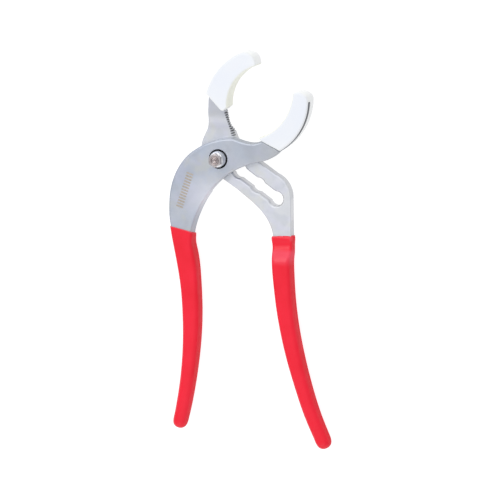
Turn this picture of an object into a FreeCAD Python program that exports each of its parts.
import FreeCAD, Part
import math
import os

# Slip-joint connector pliers with soft jaw caps, lying flat with the pivot nut up.
# Units are millimetres.  The origin is on the pivot axis, at the underside of the bolt
# head, with the adjustable joint in its first (narrowest) position.  +X is across the
# tool towards the front lever's jaw, +Y runs from the handles to the jaws, +Z is up.
# Every function works with z = 0 on the plane where the two levers lap; the finished
# solids are lifted to their place at the end.

V = FreeCAD.Vector

# Heights.
LAP_Z = 9.0             # lap plane above the underside of the bolt head
LAP_GAP = 0.1           # free gap between the two lapped plates
PLATE_T = 6.5           # thickness of each lapped plate
ARM_LOW = -3.2          # underside of the front lever's deep arm
NECK_HALF = 2.3         # half thickness of the metal where it enters a cap
REAR_TONGUE = (-1.4, 1.4)       # lower and upper face of the tongue inside the rear cap
FRONT_TONGUE = (2.4, 4.6)       # and inside the front cap, close under its upper face
CAP_HALF = 6.2          # half thickness of a jaw cap
TALL = 30.0             # half height of cutters that pass through everything

# Adjusting slot in the rear lever.
SLOT_ANGLE = -33.9      # direction of the slot from +X, degrees
SLOT_TRAVEL = 43.4      # from the first pivot position to the last
SLOT_STOPS = 4          # pivot positions
LOBE_R = 4.6            # radius of each position
CHANNEL_HALF = 3.6      # half width of the channel between positions
SLOT_CHAMFER = 0.9

# Pivot bolt and nut.
SHANK_R = 4.52          # bolt shank in the lobes and in the front lever
SHANK_FLAT = 3.52       # half width over the two flats that pass the channel
FRONT_BORE_R = 4.58
HEAD_R = 7.4
HEAD_T = LAP_Z - PLATE_T - LAP_GAP
HEAD_ROUND = 0.9
COUNTERBORE_R = 6.1
COUNTERBORE_FLOOR = 3.4     # above the lap plane
JOURNAL_TOP = COUNTERBORE_FLOOR - 0.1
THREAD_R = 2.75
THREAD_ROUND = 0.5
BOLT_END = 14.0             # above the lap plane
CENTRE_R = 1.3              # centre mark in the bolt's end
CENTRE_BOTTOM_R = 0.4
CENTRE_DEPTH = 0.7
FLANGE_R = 5.85             # nut's round flange, in the counterbore
FLANGE_TOP = 6.2            # above the lap plane: where the flange begins to taper
TAPER_R = 4.5               # radius at the taper's top
TAPER_TOP = 10.4
NUT_FLATS = 7.8
NUT_TOP = 13.2
NUT_CHAMFER = 0.7           # height of the bevel round the nut's top
NUT_BEVEL_R = 4.7           # radius at which that bevel begins
NUT_TOP_R = 3.8             # radius at which it ends

# Jaw caps: an inner grip arc and an outer arc each.
REAR_INNER = (33.2, 34.0, 27.5)     # centre x, centre y, radius
REAR_OUTER = (31.9, 30.2, 41.8)
FRONT_INNER = (16.1, 46.2, 33.1)
FRONT_OUTER = (20.7, 40.5, 38.8)
LINER_T = 2.6           # plastic between the tongue and the grip arc
REAR_TONGUE_INSET = 0.7         # how far the tongue's edge sits inside the outer arc
FRONT_TONGUE_INSET = -0.4       # the front one stands a little proud of it
CAP_ROUND = 1.3

# Gripping teeth on the rear lever's neck, cut from its first end to its second.
TOOTH_START = (3.6, 29.7)
TOOTH_END = (7.2, 16.6)
TOOTH_COUNT = 9
TOOTH_DEPTH = 1.0
TOOTH_FILL = 0.8        # share of the pitch that a gap takes up at its mouth
TOOTH_MOUTH = 0.6       # how far a cutter starts outside the edge
NECK_HOLLOW = 0.5       # how far the toothed edge bows inwards

# The neck's faces rise smoothly from the plate to the jaw's middle, between these y.
NECK_FRONT_RAMP = (16.9, 31.0)
NECK_BACK_RAMP = (15.0, 24.0)

EDGE_ROUND = 1.2        # front lever, visible edges
ARM_ROUND = 1.2         # front lever, underside
PLATE_ROUND = 0.7       # rear lever's plate

# Handles as stations down their length: x, y, half width, low z, high z, corner radius,
# thickness of plastic over the steel.  Each begins above its grip's top edge, thin where
# the plastic runs out over the steel plate.
FRONT_HANDLE = [
    (-25.8, -41.0, 7.4, -3.7, 7.0, 1.8, 0.9), (-25.0, -46.0, 7.1, -3.7, 7.0, 1.9, 0.9),
    (-24.5, -51.0, 6.8, -4.0, 7.0, 2.1, 0.9), (-24.3, -55.5, 6.3, -5.1, 6.7, 2.4, 0.9),
    (-23.4, -61.0, 6.3, -6.0, 6.3, 2.7, 1.3), (-22.3, -67.0, 6.4, -6.0, 6.0, 2.9, 1.5),
    (-20.6, -80.0, 6.0, -6.0, 6.0, 3.2, 1.5), (-19.5, -97.0, 5.7, -6.0, 6.0, 3.5, 1.5),
    (-19.6, -115.0, 5.3, -6.0, 6.0, 3.8, 1.5), (-21.0, -133.0, 4.9, -5.8, 5.8, 4.0, 1.5),
    (-23.4, -150.0, 4.7, -5.4, 5.4, 4.1, 1.5), (-25.3, -160.0, 4.6, -5.2, 5.2, 4.1, 1.5),
    (-26.7, -166.3, 4.5, -5.1, 5.1, 4.1, 1.5), (-27.5, -169.5, 4.4, -5.0, 5.0, 4.1, 1.5)]
REAR_HANDLE = [
    (40.3, -42.0, 6.6, -7.1, 0.6, 1.6, 0.9), (40.2, -48.0, 6.7, -7.1, 0.6, 1.6, 0.9),
    (40.1, -52.0, 6.8, -7.1, 0.6, 1.6, 0.9), (40.3, -55.0, 6.6, -7.1, 1.0, 1.8, 0.9),
    (40.6, -58.5, 6.6, -6.6, 3.2, 2.2, 1.2), (40.8, -62.0, 6.3, -6.1, 5.4, 2.6, 1.4),
    (41.0, -68.0, 6.2, -6.0, 6.0, 3.0, 1.5), (41.7, -78.0, 6.0, -6.0, 6.0, 3.2, 1.5),
    (42.9, -90.0, 5.8, -6.0, 6.0, 3.4, 1.5), (45.2, -105.0, 5.6, -6.0, 6.0, 3.7, 1.5),
    (49.4, -124.0, 5.3, -6.0, 6.0, 3.9, 1.5), (54.9, -143.0, 5.0, -5.8, 5.8, 4.1, 1.5),
    (60.8, -160.0, 4.9, -5.4, 5.4, 4.2, 1.5), (64.6, -168.8, 4.8, -5.2, 5.2, 4.2, 1.5),
    (66.8, -173.6, 4.8, -5.1, 5.1, 4.2, 1.5), (68.1, -176.6, 4.7, -5.0, 5.0, 4.2, 1.5)]
TIP_ANGLES = (35.0, 60.0, 78.0)     # extra sections round each handle's dome
TIP_BACK = 2.0          # extra plastic at the very end of a grip
LEAST_ROUND = 0.5

# Top edge of each grip: the line it follows in plan, the height of that line, and how much
# the edge leans towards the handle's end per millimetre down through the handle.
FRONT_GRIP_TOP = ((-31.6, -44.4), (-18.0, -47.2), 6.5, 0.22)
REAR_GRIP_TOP = ((34.0, -48.0), (48.3, -46.6), 0.6, 0.12)
CORE_COVER = 1.2        # how far inside the grip the handle steel begins


# ---------------------------------------------------------------- helpers

def p(x, y, z=0.0):
    return V(x, y, z)


def unit(a, b):
    """Direction from a to b in plan."""
    length = math.hypot(b[0] - a[0], b[1] - a[1])
    return (b[0] - a[0]) / length, (b[1] - a[1]) / length


def on_circle(circle, angle):
    cx, cy, r = circle
    a = math.radians(angle)
    return cx + r * math.cos(a), cy + r * math.sin(a)


def outline(start, *steps):
    """Closed face from a start point and steps: (x, y) is a straight edge, a pair of
    points is an arc through the first to the second, a longer list is a smooth curve."""
    edges = []
    here = p(*start)
    for step in list(steps) + [start]:
        if not isinstance(step[0], tuple):
            there = p(*step)
            if here.distanceToPoint(there) > 1e-6:
                edges.append(Part.makeLine(here, there))
        elif len(step) == 2:
            there = p(*step[1])
            edges.append(Part.Arc(here, p(*step[0]), there).toShape())
        else:
            points = [here] + [p(*q) for q in step]
            curve = Part.BSplineCurve()
            curve.interpolate(points)
            edges.append(curve.toShape())
            there = points[-1]
        here = there
    return Part.Face(Part.Wire(edges))


def slab(face, low, high):
    solid = face.extrude(V(0, 0, high - low))
    solid.translate(V(0, 0, low))
    return solid


def cylinder(x, y, radius, low, high):
    return Part.makeCylinder(radius, high - low, p(x, y, low))


def cone(x, y, r_low, r_high, low, high):
    return Part.makeCone(r_low, r_high, high - low, p(x, y, low))


def rim_edges(solid, height):
    """Edges that lie in the plane z = height."""
    found = []
    for edge in solid.Edges:
        box = edge.BoundBox
        if abs(box.ZMin - height) < 1e-4 and abs(box.ZMax - height) < 1e-4:
            found.append(edge)
    return found


def eased(solid, height, radius, curved_only=False):
    """Round the edges in one plane, or only the curved ones among them."""
    edges = rim_edges(solid, height)
    if curved_only:
        edges = [e for e in edges if not isinstance(e.Curve, Part.Line)]
    return solid.makeFillet(radius, edges)


def below(top, drop=0.0):
    """Keeper for everything under a grip's top edge, or under a parallel one that much lower."""
    (ax, ay), (bx, by), height, lean = top
    slope = (by - ay) / (bx - ax)
    left, right, bottom = -90.0, 120.0, -250.0
    face = outline((left, ay + slope * (left - ax)), (left, bottom), (right, bottom),
                   (right, ay + slope * (right - ax)))
    solid = face.extrude(V(0, 2 * TALL * lean, 2 * TALL))
    solid.translate(V(0, -drop - (TALL + height) * lean, -TALL))
    return solid


def ramp_cutter(y_span, z_start, z_end, outside):
    """Cutter across the tool whose inner face rises or falls from z_start to z_end in two
    equal arcs, level at both ends; it takes away everything from there to outside."""
    y0, y1 = y_span
    run = y1 - y0
    rise = abs(z_end - z_start)
    turn = 1.0 if z_end > z_start else -1.0
    radius = (run * run + rise * rise) / (4.0 * rise)
    half_angle = 0.5 * math.asin(0.5 * run / radius)
    dy = radius * math.sin(half_angle)
    dz = turn * radius * (1.0 - math.cos(half_angle))
    middle = ((y0 + y1) / 2.0, (z_start + z_end) / 2.0)
    face = outline((y0, z_start), ((y0 + dy, z_start + dz), middle),
                   ((y1 - dy, z_end - dz), (y1, z_end)), (y1, outside), (y0, outside))
    face.rotate(p(0, 0), V(1, 1, 1), 120.0)     # plan x, y become y, z
    solid = face.extrude(V(200, 0, 0))
    solid.translate(V(-100, 0, 0))
    return solid


# ---------------------------------------------------------------- handles

def section(x, y, direction, half, low, high, corner):
    """Rounded rectangle standing across a handle."""
    dx, dy = direction

    def at(side, z):
        return p(x - dy * side, y + dx * side, z)

    inner = half - corner
    k = corner * (1.0 - math.sqrt(0.5))
    edges = []
    for sx, sz in ((1, 1), (-1, 1), (-1, -1), (1, -1)):
        top = high if sz > 0 else low
        level = at(sx * inner, top)
        upright = at(sx * half, top - sz * corner)
        bend = at(sx * (half - k), top - sz * k)
        if sx * sz > 0:
            edges.append(Part.Arc(upright, bend, level).toShape())
            edges.append(Part.makeLine(level, at(-sx * inner, top)))
        else:
            far = low + corner if sz > 0 else high - corner
            edges.append(Part.Arc(level, bend, upright).toShape())
            edges.append(Part.makeLine(upright, at(sx * half, far)))
    return Part.Wire(edges)


def handle(stations, core):
    """Smooth bar through the stations with a domed end: a grip's outside, or with core
    set, the steel inside it."""
    wires = []
    last = len(stations) - 1
    for i, (x, y, half, low, high, corner, wall) in enumerate(stations):
        direction = unit(stations[max(i - 1, 0)], stations[min(i + 1, last)])
        if core:
            half -= wall
            low += wall
            high -= wall
            corner = max(corner - wall, LEAST_ROUND)
        if core and i == last:
            x -= direction[0] * TIP_BACK
            y -= direction[1] * TIP_BACK
        wires.append(section(x, y, direction, half, low, high, corner))
    for angle in TIP_ANGLES:
        shrink = math.cos(math.radians(angle))
        reach = half * math.sin(math.radians(angle))
        middle = (low + high) / 2.0
        tall = (high - low) / 2.0 * shrink
        wires.append(section(x + direction[0] * reach, y + direction[1] * reach, direction, half * shrink,
                             middle - tall, middle + tall, corner * shrink))
    return Part.makeLoft(wires, True)


# ---------------------------------------------------------------- front lever

def front_plate_face():
    """Hub, arm and jaw root, seen from above."""
    return outline(
        (-29.9, -54.0),
        [(-30.8, -49.6), (-31.7, -45.2), (-32.7, -39.5), (-33.0, -33.0), (-32.3, -22.5),
         (-27.9, -8.9), (-22.4, -0.8), (-15.5, 5.1)],
        ((-4.2, 10.9), (9.3, 13.5)),
        [(12.3, 12.7), (18.0, 11.3), (28.4, 12.9)],
        (40.7, 7.1),
        [(36.4, 3.2), (30.9, 0.5), (23.6, -1.4), (16.4, -4.1), (10.6, -6.9), (2.9, -12.1),
         (-4.4, -19.4), (-9.4, -26.2), (-13.4, -33.6), (-16.3, -40.6), (-18.4, -48.6), (-19.0, -54.0)])


def deep_region():
    """Where the front lever's arm may be deep: it never passes over the rear lever's
    plate there, at any pivot position and opening."""
    return outline((-60.0, -2.6), (-10.4, -11.3), (-7.4, -16.0), (-6.5, -26.0), (-10.0, -60.0),
                   (-60.0, -60.0))


def jaw_root():
    """Lower half of the metal where the front jaw enters its cap."""
    return outline((25.2, 10.4), (26.5, 12.1), (28.4, 12.9), (40.7, 7.1), (40.3, 6.95))


def front_tongue_room():
    return outline((26.0, 10.4), (38.5, 7.6), (40.6, 7.2), (66.0, 14.0), (66.0, 39.0), (50.0, 39.0),
                   (42.0, 22.0), (33.0, 14.5))


def tongue(inner, outer, room, faces, inset):
    """Curved steel tongue inside a cap."""
    cx, cy, r_in = inner
    ox, oy, r_out = outer
    body = cylinder(ox, oy, r_out - inset, *faces)
    body = body.cut(cylinder(cx, cy, r_in + LINER_T, -TALL, TALL))
    return body.common(slab(room, -TALL, TALL))


def front_lever():
    face = front_plate_face()
    plate = eased(slab(face, LAP_GAP / 2, PLATE_T), PLATE_T, EDGE_ROUND, True)
    arm = eased(slab(face, ARM_LOW, LAP_GAP), ARM_LOW, ARM_ROUND, True)
    arm = arm.common(slab(deep_region(), -TALL, TALL))
    root = slab(jaw_root(), -NECK_HALF, LAP_GAP)
    blade = tongue(FRONT_INNER, FRONT_OUTER, front_tongue_room(), FRONT_TONGUE, FRONT_TONGUE_INSET)
    body = plate.fuse([arm, root, blade])
    core_start = below(FRONT_GRIP_TOP, CORE_COVER)
    body = body.cut(core_start)
    body = body.fuse(handle(FRONT_HANDLE, True).common(core_start))
    body = body.cut(cylinder(0, 0, FRONT_BORE_R, -TALL, TALL))
    body = body.cut(cylinder(0, 0, COUNTERBORE_R, COUNTERBORE_FLOOR, TALL))
    return body.removeSplitter()


# ---------------------------------------------------------------- rear lever

def rear_plate_face():
    """Hub and slot arm, up to where the neck begins."""
    return outline(
        (-9.4, 17.8),
        [(-11.3, 14.0), (-13.1, 9.5), (-13.6, 3.0), (-11.5, -3.5), (-6.2, -9.4)],
        (10.0, -19.5),
        [(20.0, -27.0), (27.5, -34.0), (32.0, -41.0), (34.2, -51.0)],
        (46.2, -51.0), (45.8, -22.5),
        ((43.0, -14.3), (36.0, -8.8)),
        (18.5, 2.6),
        ((12.4, 7.6), (8.7, 14.0)), (6.6, 19.0), (3.0, 22.0), (-6.0, 22.0))


def rear_neck_face():
    return outline(
        (-7.75, 40.3), (-8.3, 27.0), ((-8.5, 22.0), (-9.6, 17.2)),
        (7.05, 17.0), (4.95, 23.0), (3.45, 30.2), (2.9, 30.5), (1.3, 31.1), (-6.6, 39.2))


def rear_tongue_room():
    return outline((-6.7, 36.0), (2.6, 26.0), (2.9, 30.0), (8.0, 50.0), (16.6, 56.0), (12.6, 72.0),
                   (-12.0, 72.0), (-12.0, 42.0), (-6.7, 38.9))


def lobe_centres():
    a = math.radians(SLOT_ANGLE)
    pitch = SLOT_TRAVEL / (SLOT_STOPS - 1)
    return [(math.cos(a) * pitch * i, math.sin(a) * pitch * i) for i in range(SLOT_STOPS)]


def slot_cutter():
    """Straight channel through all pivot positions, with a round lobe at each."""
    channel = Part.makeBox(SLOT_TRAVEL, 2 * CHANNEL_HALF, 2 * TALL, p(0, -CHANNEL_HALF, -TALL))
    channel.rotate(p(0, 0), V(0, 0, 1), SLOT_ANGLE)
    lobes = [cylinder(x, y, LOBE_R, -TALL, TALL) for x, y in lobe_centres()]
    return channel.fuse(lobes).removeSplitter()


def slot_bevel():
    """Bevel round the slot on the face that laps the front lever."""
    deep = -LAP_GAP / 2 - SLOT_CHAMFER
    over = deep + SLOT_CHAMFER + 1.0
    wide = over - deep
    profile = Part.makePolygon([
        p(0, -CHANNEL_HALF, deep), p(0, CHANNEL_HALF, deep), p(0, CHANNEL_HALF + wide, over),
        p(0, -CHANNEL_HALF - wide, over), p(0, -CHANNEL_HALF, deep)])
    channel = Part.Face(profile).extrude(V(SLOT_TRAVEL, 0, 0))
    channel.rotate(p(0, 0), V(0, 0, 1), SLOT_ANGLE)
    lobes = [cone(x, y, LOBE_R, LOBE_R + wide, deep, over) for x, y in lobe_centres()]
    return channel.fuse(lobes)


def tooth_cutters():
    """V-shaped gaps along the neck's inner edge, which bows slightly inwards."""
    dx, dy = unit(TOOTH_START, TOOTH_END)
    length = math.hypot(TOOTH_END[0] - TOOTH_START[0], TOOTH_END[1] - TOOTH_START[1])
    pitch = length / TOOTH_COUNT
    half = 0.5 * pitch * TOOTH_FILL
    cutters = []
    for i in range(TOOTH_COUNT):
        along = (i + 0.5) * pitch
        bow = NECK_HOLLOW * math.sin(math.pi * along / length)
        x = TOOTH_START[0] + dx * along + dy * bow
        y = TOOTH_START[1] + dy * along - dx * bow
        root = (x + dy * TOOTH_DEPTH, y - dx * TOOTH_DEPTH)
        mouth_a = (x - dx * half - dy * TOOTH_MOUTH, y - dy * half + dx * TOOTH_MOUTH)
        mouth_b = (x + dx * half - dy * TOOTH_MOUTH, y + dy * half + dx * TOOTH_MOUTH)
        cutters.append(slab(outline(root, mouth_a, mouth_b), -TALL, TALL))
    return cutters


def rear_lever():
    plate = slab(rear_plate_face(), -PLATE_T, -LAP_GAP / 2)
    plate = eased(plate, -LAP_GAP / 2, PLATE_ROUND)
    plate = eased(plate, -PLATE_T, PLATE_ROUND)
    neck = slab(rear_neck_face(), -PLATE_T, NECK_HALF)
    neck = neck.cut(ramp_cutter(NECK_FRONT_RAMP, -LAP_GAP / 2, NECK_HALF, TALL))
    blade = tongue(REAR_INNER, REAR_OUTER, rear_tongue_room(), REAR_TONGUE, REAR_TONGUE_INSET)
    body = plate.fuse([neck, blade])
    y0, y1 = NECK_BACK_RAMP
    body = body.cut(ramp_cutter((y0, y1), -PLATE_T, -NECK_HALF, -TALL))
    body = body.cut(Part.makeBox(60, 60, TALL, p(-30, y1, -NECK_HALF - TALL)))
    core_start = below(REAR_GRIP_TOP, CORE_COVER)
    body = body.cut(core_start)
    body = body.fuse(handle(REAR_HANDLE, True).common(core_start))
    body = body.cut(slot_cutter())
    body = body.cut(slot_bevel())
    for cutter in tooth_cutters():
        body = body.cut(cutter)
    return body.removeSplitter()


# ---------------------------------------------------------------- jaw caps

def rear_cap_face():
    a0 = on_circle(REAR_INNER, 182.0)
    a1 = on_circle(REAR_INNER, 145.0)
    a2 = on_circle(REAR_INNER, 107.6)
    b0 = on_circle(REAR_OUTER, 165.0)
    b1 = on_circle(REAR_OUTER, 140.0)
    b2 = on_circle(REAR_OUTER, 115.5)
    return outline(a0, (a1, a2), [(24.2, 63.6), (22.3, 66.8), (18.6, 68.4), b2], (b1, b0),
                   (-6.6, 39.2), (1.3, 31.1), (2.9, 30.5))


def front_cap_face():
    a0 = on_circle(FRONT_INNER, 288.0)
    a1 = on_circle(FRONT_INNER, 325.0)
    a2 = on_circle(FRONT_INNER, 355.5)
    b0 = on_circle(FRONT_OUTER, 301.0)
    b1 = on_circle(FRONT_OUTER, 330.0)
    b2 = on_circle(FRONT_OUTER, 359.0)
    return outline(a0, (a1, a2), [(50.4, 44.9), (53.6, 45.3), (57.3, 44.0), b2], (b1, b0), (28.4, 12.9))


def jaw_cap(face, inner, room, faces):
    """Channel-shaped cap: the pocket for the tongue is open along the outer arc."""
    cx, cy, r_in = inner
    body = slab(face, -CAP_HALF, CAP_HALF)
    body = eased(body, CAP_HALF, CAP_ROUND, True)
    body = eased(body, -CAP_HALF, CAP_ROUND, True)
    pocket = slab(room, *faces)
    pocket = pocket.cut(cylinder(cx, cy, r_in + LINER_T, -TALL, TALL))
    return body.cut(pocket)


def rear_jaw_cap():
    room = outline((-30.0, 20.0), (10.0, 20.0), (10.0, 50.0), (16.6, 56.0), (12.6, 72.0), (-30.0, 72.0))
    return jaw_cap(rear_cap_face(), REAR_INNER, room, REAR_TONGUE)


def front_jaw_cap():
    room = outline((20.0, 0.0), (90.0, 0.0), (90.0, 39.0), (50.0, 39.0), (42.0, 22.0), (20.0, 12.0))
    return jaw_cap(front_cap_face(), FRONT_INNER, room, FRONT_TONGUE)


# ---------------------------------------------------------------- grips

def grip(stations, top, lever):
    return handle(stations, False).common(below(top)).cut(lever)


# ---------------------------------------------------------------- pivot

def pivot_bolt():
    under = -PLATE_T - LAP_GAP
    head = cylinder(0, 0, HEAD_R, under - HEAD_T, under)
    head = head.makeFillet(HEAD_ROUND, rim_edges(head, under - HEAD_T))
    shank = cylinder(0, 0, SHANK_R, under, 0.0)
    flats = Part.makeBox(4 * SHANK_R, 2 * SHANK_FLAT, TALL, p(-2 * SHANK_R, -SHANK_FLAT, under))
    flats.rotate(p(0, 0), V(0, 0, 1), SLOT_ANGLE)
    shank = shank.common(flats)
    journal = cylinder(0, 0, SHANK_R, 0.0, JOURNAL_TOP)
    thread = cylinder(0, 0, THREAD_R, JOURNAL_TOP, BOLT_END)
    thread = thread.makeFillet(THREAD_ROUND, rim_edges(thread, BOLT_END))
    bolt = head.fuse([shank, journal, thread])
    bolt = bolt.cut(cone(0, 0, CENTRE_BOTTOM_R, CENTRE_R, BOLT_END - CENTRE_DEPTH, BOLT_END))
    return bolt.removeSplitter()


def pivot_nut():
    """Hexagon on a round tapered flange, sunk in the front lever's counterbore."""
    corners = [on_circle((0.0, 0.0, NUT_FLATS / math.sqrt(3.0)), 30.0 + 60.0 * i) for i in range(6)]
    flange = cylinder(0, 0, FLANGE_R, COUNTERBORE_FLOOR, FLANGE_TOP)
    taper = cone(0, 0, FLANGE_R, TAPER_R, FLANGE_TOP, TAPER_TOP)
    shoulder = NUT_TOP - NUT_CHAMFER
    blank = cylinder(0, 0, NUT_BEVEL_R, COUNTERBORE_FLOOR, shoulder)
    blank = blank.fuse(cone(0, 0, NUT_BEVEL_R, NUT_TOP_R, shoulder, NUT_TOP))
    hexagon = slab(outline(*corners), COUNTERBORE_FLOOR, NUT_TOP).common(blank)
    body = flange.fuse([taper, hexagon])
    return body.cut(cylinder(0, 0, THREAD_R, -TALL, TALL)).removeSplitter()


# ---------------------------------------------------------------- all of it

def build():
    parts = {"front_lever": front_lever(), "rear_lever": rear_lever()}
    parts["rear_jaw_cap"] = rear_jaw_cap()
    parts["front_jaw_cap"] = front_jaw_cap()
    parts["front_grip"] = grip(FRONT_HANDLE, FRONT_GRIP_TOP, parts["front_lever"])
    parts["rear_grip"] = grip(REAR_HANDLE, REAR_GRIP_TOP, parts["rear_lever"])
    parts["pivot_bolt"] = pivot_bolt()
    parts["pivot_nut"] = pivot_nut()
    return parts


if __name__ == "__main__":
    finished = build()
    os.makedirs("parts", exist_ok=True)
    for name, solid in finished.items():
        solid.translate(V(0, 0, LAP_Z))
        print(name, solid.isValid(), len(solid.Solids), round(solid.Volume))
        solid.exportStep("parts/" + name + ".step")
